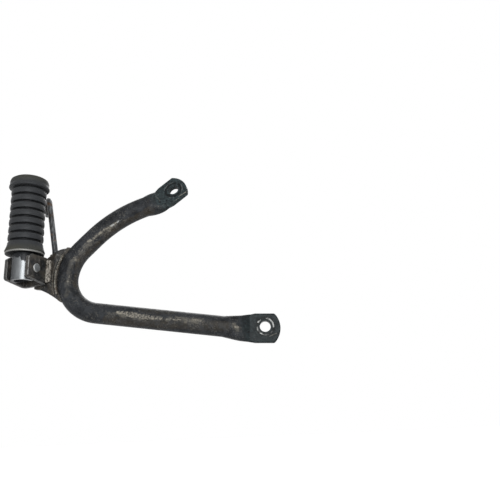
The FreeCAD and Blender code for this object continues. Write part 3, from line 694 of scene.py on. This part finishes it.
class MakeRubber(bpy.types.Operator):
    """Model the ribbed rubber, with rounded moulded lips and worn, uneven ribs"""

    bl_idname = "foot_peg.make_rubber"
    bl_label = "Rubber"

    def execute(self, context):
        sizes = context.scene.foot_peg_rubber
        low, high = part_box("peg_rubber")
        bm = spun_profile(self.profile(sizes, stem_radius(), low.z, high.z), steps=96)
        self.wear(bm, sizes, low.z, high.z)
        bmesh.ops.translate(bm, verts=bm.verts, vec=STEM_AXIS)
        finish_piece("ribbed_rubber", bm, "peg", ["peg_rubber"], rubber_finish(),
                     sharp_degrees=50.0)
        return {"FINISHED"}

    def neck_height(self, sizes, base):
        """Height of the neck under the head, one groove pitch above the last groove."""
        return base + sizes.first_groove + sizes.groove_count * sizes.groove_pitch

    def profile(self, sizes, inner, base, top):
        """Outline of the rubber as (radius, height), from its base to the middle of its head."""
        flange, rib = sizes.flange_radius, sizes.rib_radius
        points = [(inner, base), (flange - 0.5 * MM, base), (flange, base + sizes.base_height / 2),
                  (flange - 0.4 * MM, base + sizes.base_height),
                  (rib + 0.7 * MM, base + sizes.base_height + sizes.base_taper * 0.4),
                  (rib, base + sizes.base_height + sizes.base_taper * 0.85)]
        half, depth, edge = sizes.groove_width / 2, sizes.groove_depth, rib - sizes.rib_crown
        neck = self.neck_height(sizes, base)
        for groove in range(sizes.groove_count):
            middle = base + sizes.first_groove + groove * sizes.groove_pitch
            points += [(edge, middle - half), (rib - depth, middle - half * 0.55),
                       (rib - depth, middle + half * 0.55), (edge, middle + half),
                       (rib, middle + sizes.groove_pitch * 0.4)]
        points += [(rib, middle + sizes.groove_pitch * 0.6), (edge, neck - half),
                   (sizes.neck_radius, neck - half * 0.4), (sizes.neck_radius, neck + half * 0.4)]
        head, lip = sizes.head_radius, neck + sizes.head_taper
        shoulder = lip + sizes.head_rim
        points += [(head - 0.7 * MM, lip - 0.4 * MM), (head, lip + 0.4 * MM),
                   (head - 0.1 * MM, lip + sizes.head_rim * 0.14),
                   (head - sizes.head_slope * 0.25 - sizes.head_hollow, lip + sizes.head_rim * 0.34),
                   (head - sizes.head_slope * 0.35, lip + sizes.head_rim * 0.60),
                   (head - sizes.head_slope * 0.8, shoulder - 1.6 * MM),
                   (head - sizes.head_slope * 2, shoulder),
                   (head * 0.45, top - 0.2 * MM), (0.0, top)]
        return rounded_profile(points, sizes.lip_rounding, segments=3)

    def wear(self, bm, sizes, base, top):
        """Painted shade in what lies deep, and slight waves, so that no rib is a perfect ring."""
        groove_shade = bm.verts.layers.float.new("groove_shade")
        rib_edge = sizes.rib_radius - sizes.rib_crown
        grooves_end = self.neck_height(sizes, base) + sizes.groove_width / 2
        short_wave = 0.6
        highest = 1 + short_wave
        for vert in bm.verts:
            radius = math.hypot(vert.co.x, vert.co.y)
            # Painted shade, darker the deeper a point lies in a groove.
            if vert.co.z <= grooves_end:
                deep = (rib_edge - radius) / (sizes.groove_depth * 0.6)
                vert[groove_shade] = max(0.0, min(1.0, deep))
            if radius < sizes.neck_radius * 0.8:
                continue
            turn = math.atan2(vert.co.y, vert.co.x)
            share = (vert.co.z - base) / (top - base)
            wave = math.sin(2 * turn + 7 * share) + short_wave * math.sin(5 * turn - 23 * share)
            factor = 1 + sizes.wobble * (wave - highest) / (2 * highest) / radius
            vert.co.x *= factor
            vert.co.y *= factor


class MakeClevis(bpy.types.Operator):
    """Model the folded clevis: a strip bent into two ears and a web, with worn edges"""

    bl_idname = "foot_peg.make_clevis"
    bl_label = "Clevis"

    def execute(self, context):
        sizes = context.scene.foot_peg_clevis
        bm = bmesh.new()
        outer_half = sizes.inner_half + sizes.plate
        rear = sizes.web_front + sizes.plate
        bottom = -sizes.web_bottom - sizes.web_crown
        plan = [(-outer_half, -sizes.ear_front), (-outer_half, rear), (outer_half, rear),
                (outer_half, -sizes.ear_front)]
        verts = [bm.verts.new((x, y, bottom)) for x, y in plan]
        for pair in zip(verts, verts[1:]):
            bm.edges.new(pair)
        bmesh.ops.bevel(bm, geom=verts[1:3], offset=sizes.bend_radius, offset_type="OFFSET",
                        segments=10, profile=0.5, affect="VERTICES", material=-1)
        rise = bmesh.ops.extrude_edge_only(bm, edges=list(bm.edges))
        top = [item for item in rise["geom"] if isinstance(item, bmesh.types.BMVert)]
        bmesh.ops.translate(bm, verts=top, vec=(0, 0, sizes.ear_top - bottom))
        self.trim(bm, sizes, rear)
        bmesh.ops.recalc_face_normals(bm, faces=bm.faces)
        middle = Vector((0, rear, 0))
        back = min(bm.faces, key=lambda face: (face.calc_center_median() - middle).length)
        if back.normal.y < 0:
            bmesh.ops.reverse_faces(bm, faces=bm.faces)
        bmesh.ops.solidify(bm, geom=list(bm.faces), thickness=sizes.plate)
        bmesh.ops.recalc_face_normals(bm, faces=bm.faces)
        self.round_edges(bm, sizes)
        bmesh.ops.transform(bm, matrix=PIN_FRAME, verts=bm.verts)
        finish_piece("folded_clevis", bm, "bracket", ["clevis"],
                     plate_finish("Clevis paint", speck_level=0.66), sharp_degrees=30.0)
        return {"FINISHED"}

    def trim(self, bm, sizes, rear):
        """Cuts the ears' sloping lower edge and top front corners, and rounds their toe."""
        slope = Vector((0, sizes.ear_front + rear, -(sizes.web_bottom - sizes.ear_bottom)))
        low_normal = Vector((0, slope.z, -slope.y)).normalized()
        cuts = ((Vector((0, -sizes.ear_front, -sizes.ear_bottom)), low_normal),
                (Vector((0, -sizes.ear_front, sizes.ear_top - sizes.corner_rise)),
                 Vector((0, -sizes.corner_rise, sizes.corner_run)).normalized()))
        for point, normal in cuts:
            bmesh.ops.bisect_plane(bm, geom=whole(bm), plane_co=point, plane_no=normal,
                                   clear_outer=True)
        near = 0.2 * MM
        toe = [vert for vert in bm.verts if vert.co.y < near - sizes.ear_front
               and vert.co.z < near - sizes.ear_bottom]
        bmesh.ops.bevel(bm, geom=toe, offset=sizes.toe_rounding, offset_type="OFFSET",
                        segments=5, profile=0.5, affect="VERTICES", material=-1)

    def round_edges(self, bm, sizes):
        """Rounds the plate's edges and marks what wear has bared."""
        wear = bm.faces.layers.float.new("edge_wear")
        sharp_angle = math.radians(40)
        sharp = [edge for edge in bm.edges if edge.calc_face_angle(0.0) > sharp_angle]
        made = bmesh.ops.bevel(bm, geom=sharp, offset=sizes.edge_rounding, offset_type="OFFSET",
                               segments=3, profile=0.5, affect="EDGES", material=-1,
                               clamp_overlap=True)
        near_front, other_edges, front_faces = 1.0, 0.4, 0.2
        for face in made["faces"]:
            centre = face.calc_center_median()
            front = centre.y < sizes.worn_strip - sizes.ear_front and abs(face.normal.z) < 0.5
            face[wear] = near_front if front and centre.x > 0 else other_edges
        for face in bm.faces:
            if face[wear] == 0.0 and face.normal.y < -0.9 and face.calc_center_median().y < 0:
                face[wear] = front_faces


def bead_path(points, pitch):
    """Points spaced evenly along a polyline, a quarter of a ripple apart."""
    step = pitch / 4
    spaced = [points[0]]
    for start, end in zip(points, points[1:]):
        count = max(1, round((end - start).length / step))
        spaced += [start.lerp(end, (index + 1) / count) for index in range(count)]
    return spaced


# Side of a bead, towards the front and a little to the left, that gets a painted highlight.
BEAD_HIGHLIGHT_SIDE = Vector((-0.45, -0.89, 0.0))


def jitter(amount):
    return Vector([random.uniform(-1, 1) * amount for _ in range(3)])


def weld_bead(points, radius, sizes, seed):
    """Rippled bead with round ends as a bmesh, made from a curve of changing thickness."""
    random.seed(seed)
    path = bead_path(points, sizes.ripple_pitch)
    total = (len(path) - 1) * sizes.ripple_pitch / 4
    data = bpy.data.curves.new("bead", "CURVE")
    data.dimensions = "3D"
    data.bevel_depth = radius
    data.bevel_resolution = 6
    data.use_fill_caps = True
    spline = data.splines.new("POLY")
    spline.points.add(len(path) - 1)
    for index, point in enumerate(path):
        travelled = index * sizes.ripple_pitch / 4
        ripple = abs(math.sin(math.pi * travelled / sizes.ripple_pitch))
        end_distance = min(travelled, total - travelled)
        dome = math.sqrt(max(0.0, 1 - max(0.0, 1 - (end_distance + 0.15 * radius) / radius) ** 2))
        spline.points[index].co = (*(point + jitter(sizes.roughness * 0.5)), 1)
        size = radius - sizes.ripple_height * (1 - ripple) + random.uniform(-1, 0) * sizes.roughness
        spline.points[index].radius = dome * size / radius
    holder = bpy.data.objects.new("bead", data)
    mesh = bpy.data.meshes.new_from_object(holder)
    bm = bmesh.new()
    bm.from_mesh(mesh)
    bpy.data.objects.remove(holder)
    bpy.data.curves.remove(data)
    bpy.data.meshes.remove(mesh)
    bmesh.ops.remove_doubles(bm, verts=bm.verts, dist=1e-6)
    for vert in bm.verts:
        vert.co += jitter(sizes.roughness * 0.25)
    bmesh.ops.recalc_face_normals(bm, faces=bm.faces)
    bm.normal_update()
    # Painted highlight: how far each point faces the side that is painted bright.
    highlight_side = bm.verts.layers.float.new("highlight_side")
    for vert in bm.verts:
        vert[highlight_side] = max(0.0, vert.normal.dot(BEAD_HIGHLIGHT_SIDE))
    return bm


def bend_points(node, steps, inset):
    """Points along the middle of a curved CAD bead that follows the tube's bend."""
    low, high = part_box(node)
    mesh = frame["nodes"][node].data
    depth = (low.y + high.y) / 2
    bottom, top = low.z + inset, high.z - inset
    points = []
    for step in range(steps + 1):
        height = bottom + (top - bottom) * step / steps
        ring = [vert.co for vert in mesh.vertices if abs(vert.co.z - height) < 0.9 * MM]
        if ring:
            points.append(Vector(((min(co.x for co in ring) + max(co.x for co in ring)) / 2,
                                  depth, height)))
    return points


class MakeWelds(bpy.types.Operator):
    """Model the weld beads with ripples, each where its plain CAD bead lies"""

    bl_idname = "foot_peg.make_welds"
    bl_label = "Welds"

    def execute(self, context):
        sizes = context.scene.foot_peg_welds
        bright = weld_finish("Bright weld metal", 0.47, brightness=1.0, highlight_strength=0.35)
        dark = weld_finish("Dark weld metal", 0.60, brightness=0.70, highlight_strength=0.85)
        self.upright("weld_near_ear", sizes, 2.0 * MM, offsets=(-1.2, 1.2), seed=2, material=bright)
        self.upright("weld_web_back", sizes, 1.6 * MM, offsets=(0.0,), seed=3, material=dark)
        self.saddle("weld_saddle_front", sizes, ((0.0, 1.45), (-3.0, 0.55)), seed=5, material=dark)
        self.saddle("weld_saddle_back", sizes, ((0.0, 1.6),), seed=6, material=dark)
        return {"FINISHED"}

    def upright(self, node, sizes, radius, offsets, seed, material):
        """Upright bead of one or more passes side by side, their offsets in millimetres."""
        low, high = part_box(node)
        middle = (low + high) / 2
        passes = []
        for index, offset in enumerate(offsets):
            stagger = index * 0.7 * MM
            foot = Vector((middle.x + offset * MM, middle.y, low.z + radius + stagger))
            top = Vector((foot.x, foot.y, high.z - radius))
            passes.append(weld_bead([foot, top], radius, sizes, seed + index))
        self.finish(node, passes, material)

    def saddle(self, node, sizes, ridges, seed, material):
        """Beads that follow the tube's bend: each ridge's offset and radius in millimetres."""
        middle = bend_points(node, steps=14, inset=1.6 * MM)
        passes = []
        for offset, radius in ridges:
            points = [point + Vector((offset * MM, 0, 0)) for point in middle]
            if offset:
                points = points[:-2]
            passes.append(weld_bead(points, radius * MM, sizes, seed))
        self.finish(node, passes, material)

    def finish(self, node, passes, material):
        first = passes[0]
        for other in passes[1:]:
            mesh = bpy.data.meshes.new("pass")
            other.to_mesh(mesh)
            first.from_mesh(mesh)
            other.free()
            bpy.data.meshes.remove(mesh)
        finish_piece(node + "_bead", first, "bracket", [node], material,
                     sharp_degrees=80.0)


class MakeSmallParts(bpy.types.Operator):
    """Model the collar under the rubber and the rivet with its hammered heads"""

    bl_idname = "foot_peg.make_small_parts"
    bl_label = "Collar and rivet"

    def execute(self, context):
        sizes = context.scene.foot_peg_small_parts
        low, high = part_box("rubber_collar")
        inner = stem_radius()
        ring = [(inner, low.z), (sizes.collar_radius, low.z), (sizes.collar_radius, high.z),
                (inner, high.z), (inner, low.z)]
        profile = rounded_profile(ring, sizes.collar_rounding, segments=3)
        bm = spun_profile(profile, steps=96)
        mark_rim(bm, sizes.collar_radius - 0.3 * MM)
        bmesh.ops.translate(bm, verts=bm.verts, vec=STEM_AXIS)
        finish_piece("steel_collar", bm, "peg", ["rubber_collar"],
                     rim_finish("Collar steel"))
        self.rivet(context, sizes)
        return {"FINISHED"}

    def rivet(self, context, sizes):
        clevis = context.scene.foot_peg_clevis
        half = clevis.inner_half + clevis.plate
        top = half + sizes.rivet_head_height
        radius = sizes.rivet_head_radius
        shank = 3.5 * MM
        chamfer_rise, chamfer_run, rounding = 0.5 * MM, 0.9 * MM, 0.3 * MM
        dish = top - sizes.rivet_dish
        side = [(shank, 0.0), (shank, half), (radius, half), (radius, top - chamfer_rise),
                (radius - chamfer_run, top), (radius * 0.35, dish), (0.0, dish)]
        bm = spun_profile(rounded_profile(side, rounding, segments=3), steps=48)
        bmesh.ops.bisect_plane(bm, geom=whole(bm), plane_co=(0, 0, 0), plane_no=(0, 0, 1),
                               clear_inner=True)
        bmesh.ops.mirror(bm, geom=whole(bm), matrix=Matrix.Identity(4), merge_dist=1e-6, axis="Z")
        bmesh.ops.remove_doubles(bm, verts=bm.verts, dist=1e-6)
        bmesh.ops.recalc_face_normals(bm, faces=bm.faces)
        mark_rim(bm, radius - 0.15 * MM)
        lie = Matrix.Translation(PIVOT) @ PIN_FRAME.to_3x3().to_4x4() @ Matrix.Rotation(
            math.radians(90), 4, "Y")
        bmesh.ops.transform(bm, matrix=lie, verts=bm.verts)
        above_the_part = (1.0, 2.0)
        finish_piece("rivet", bm, "bracket", ["pivot_rivet"],
                     steel_finish("Rivet steel", 1.25, 0.50, above_the_part))


class DressNodes(bpy.types.Operator):
    """Give every solid that keeps its own shape its worn finish"""

    bl_idname = "foot_peg.dress_nodes"
    bl_label = "Finishes"

    def execute(self, context):
        stem_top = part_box("rubber_collar")[0].z
        plate = plate_finish("Gusset paint", speck_level=0.60)
        # The stem's last zone places its painted shade along the pin.
        stem = steel_finish("Bare stem steel", 0.92, 0.36, (stem_top - 0.015, stem_top),
                            (-0.006, 0.0078))
        finishes = {
            "bracket_tube": tube_finish(),
            "gusset_plate": plate,
            "strap_hook": rod_finish(),
            "weld_hook_foot": weld_finish("Hook weld metal", 0.45, brightness=0.6, highlight_strength=0.0),
            "peg_stem": stem,
            "stem_end_washer": stem,
        }
        for node, material in finishes.items():
            mesh = frame["nodes"][node].data
            mesh.materials.clear()
            mesh.materials.append(material)
        return {"FINISHED"}


# Point that the lights aim at, and away from which the floor's glow rises.
LIGHTS_AIM = Vector((-0.12, 0, 0.07))

# Lamps: name, place, size in metres and power in watts.
LAMPS = (
    ("Key light", (0.09, -0.92, 0.20), 0.55, 7.9),
    ("Fill light", (-0.70, -0.50, 0.45), 0.50, 0.2),
    ("Back light", (-0.10, 0.80, 0.80), 0.60, 3.8),
    ("Low light", (-0.45, -0.50, -0.12), 0.30, 0.15),
)


class MakeStage(bpy.types.Operator):
    """Set up the pale floor, the soft studio lights and the camera"""

    bl_idname = "foot_peg.make_stage"
    bl_label = "Stage"

    def execute(self, context):
        settings = context.scene.foot_peg_stage
        self.camera(context, settings)
        self.lights(context)
        self.floor(context, settings)
        self.room(context, settings)
        context.scene.view_settings.view_transform = "Standard"
        return {"FINISHED"}

    def camera(self, context, settings):
        """Camera that looks up along +Y and leans a little."""
        pitch, roll = settings.camera_pitch, settings.camera_roll
        forward = Vector((0, math.cos(pitch), math.sin(pitch)))
        level = Vector((0, -math.sin(pitch), math.cos(pitch)))
        side = Vector((math.cos(roll), 0, 0)) - level * math.sin(roll)
        up = Vector((math.sin(roll), 0, 0)) + level * math.cos(roll)
        data = bpy.data.cameras.new("Camera")
        data.lens = settings.focal_length
        data.clip_start = 0.01
        camera = bpy.data.objects.new("Camera", data)
        context.scene.collection.objects.link(camera)
        turn = Matrix((side, up, -forward)).transposed().to_4x4()
        camera.matrix_world = Matrix.Translation(settings.camera_place) @ turn
        context.scene.camera = camera

    def lights(self, context):
        for name, place, size, power in LAMPS:
            data = bpy.data.lights.new(name, "AREA")
            data.shape = "SQUARE"
            data.size = size
            data.energy = power
            lamp = bpy.data.objects.new(name, data)
            context.scene.collection.objects.link(lamp)
            lamp.location = place
            lamp.rotation_euler = (LIGHTS_AIM - Vector(place)).to_track_quat("-Z", "Y").to_euler()

    def floor(self, context, settings):
        """Pale lit floor that glows to pure white away from the part."""
        bm = bmesh.new()
        bmesh.ops.create_grid(bm, x_segments=1, y_segments=1, size=settings.floor_reach)
        bmesh.ops.translate(bm, verts=bm.verts, vec=(0, 0, settings.floor_height))
        mesh = bpy.data.meshes.new("floor")
        bm.to_mesh(mesh)
        bm.free()
        floor = bpy.data.objects.new("floor", mesh)
        context.scene.collection.objects.link(floor)
        pale = Finish("Pale floor", 0.0, 0.9)
        tint = pale.mix(pale.noise(3.0, 2.0), (0.88, 0.88, 0.88), (0.92, 0.92, 0.92))
        pale.set("Base Color", tint)
        path = add_node(pale.tree, "ShaderNodeLightPath")
        seen = pale.most(path.outputs["Is Camera Ray"], path.outputs["Is Glossy Ray"],
                         path.outputs["Is Transmission Ray"])
        pale.shader.inputs["Emission Color"].default_value = (1, 1, 1, 1)
        under = Vector((LIGHTS_AIM.x, LIGHTS_AIM.y, settings.floor_height))
        distance = vector_node(pale.tree, "DISTANCE", pale.place, under)
        glow = pale.ramp(distance, settings.glow_start, settings.glow_end, settings.floor_glow, 1.0)
        pale.set("Emission Strength", pale.times(seen, glow))
        mesh.materials.append(pale.material)

    def room(self, context, settings):
        """Even room light, white where the camera, gloss or glass sees it."""
        world = bpy.data.worlds.new("Room")
        context.scene.world = world
        world.use_nodes = True
        tree = world.node_tree
        background = next(n for n in tree.nodes if n.type == "BACKGROUND")
        background.inputs["Color"].default_value = (1, 1, 1, 1)
        path = add_node(tree, "ShaderNodeLightPath")
        seen = math_node(tree, "MAXIMUM", path.outputs["Is Camera Ray"],
                         path.outputs["Is Transmission Ray"])
        seen = math_node(tree, "MAXIMUM", seen, path.outputs["Is Glossy Ray"])
        strength = add_node(tree, "ShaderNodeMapRange", {0: seen, 3: settings.room_light, 4: 1.0})
        tree.links.new(strength.outputs[0], background.inputs["Strength"])


class FootPegPanel(bpy.types.Panel):
    bl_idname = "VIEW3D_PT_foot_peg"
    bl_label = "Foot Peg"
    bl_space_type = "VIEW_3D"
    bl_region_type = "UI"
    bl_category = "Foot Peg"

    def draw(self, context):
        for operator in OPERATORS:
            self.layout.operator(operator.bl_idname)
        for name in PROPERTY_GROUPS:
            group = getattr(context.scene, name)
            box = self.layout.box()
            for key in group.bl_rna.properties.keys():
                if key not in ("rna_type", "name"):
                    box.prop(group, key)


OPERATORS = (MakeRubber, MakeClevis, MakeWelds, MakeSmallParts, DressNodes, MakeStage)
CLASSES = (*PROPERTY_GROUPS.values(), *OPERATORS, FootPegPanel)


def register():
    for cls in CLASSES:
        bpy.utils.register_class(cls)
    for name, group in PROPERTY_GROUPS.items():
        setattr(bpy.types.Scene, name, bpy.props.PointerProperty(type=group))


def unregister():
    for name in PROPERTY_GROUPS:
        delattr(bpy.types.Scene, name)
    for cls in reversed(CLASSES):
        bpy.utils.unregister_class(cls)


def main():
    register()
    build_groups()
    bpy.ops.foot_peg.make_rubber()
    bpy.ops.foot_peg.make_clevis()
    bpy.ops.foot_peg.make_welds()
    bpy.ops.foot_peg.make_small_parts()
    bpy.ops.foot_peg.dress_nodes()
    bpy.ops.foot_peg.make_stage()


if __name__ == "__main__":
    main()
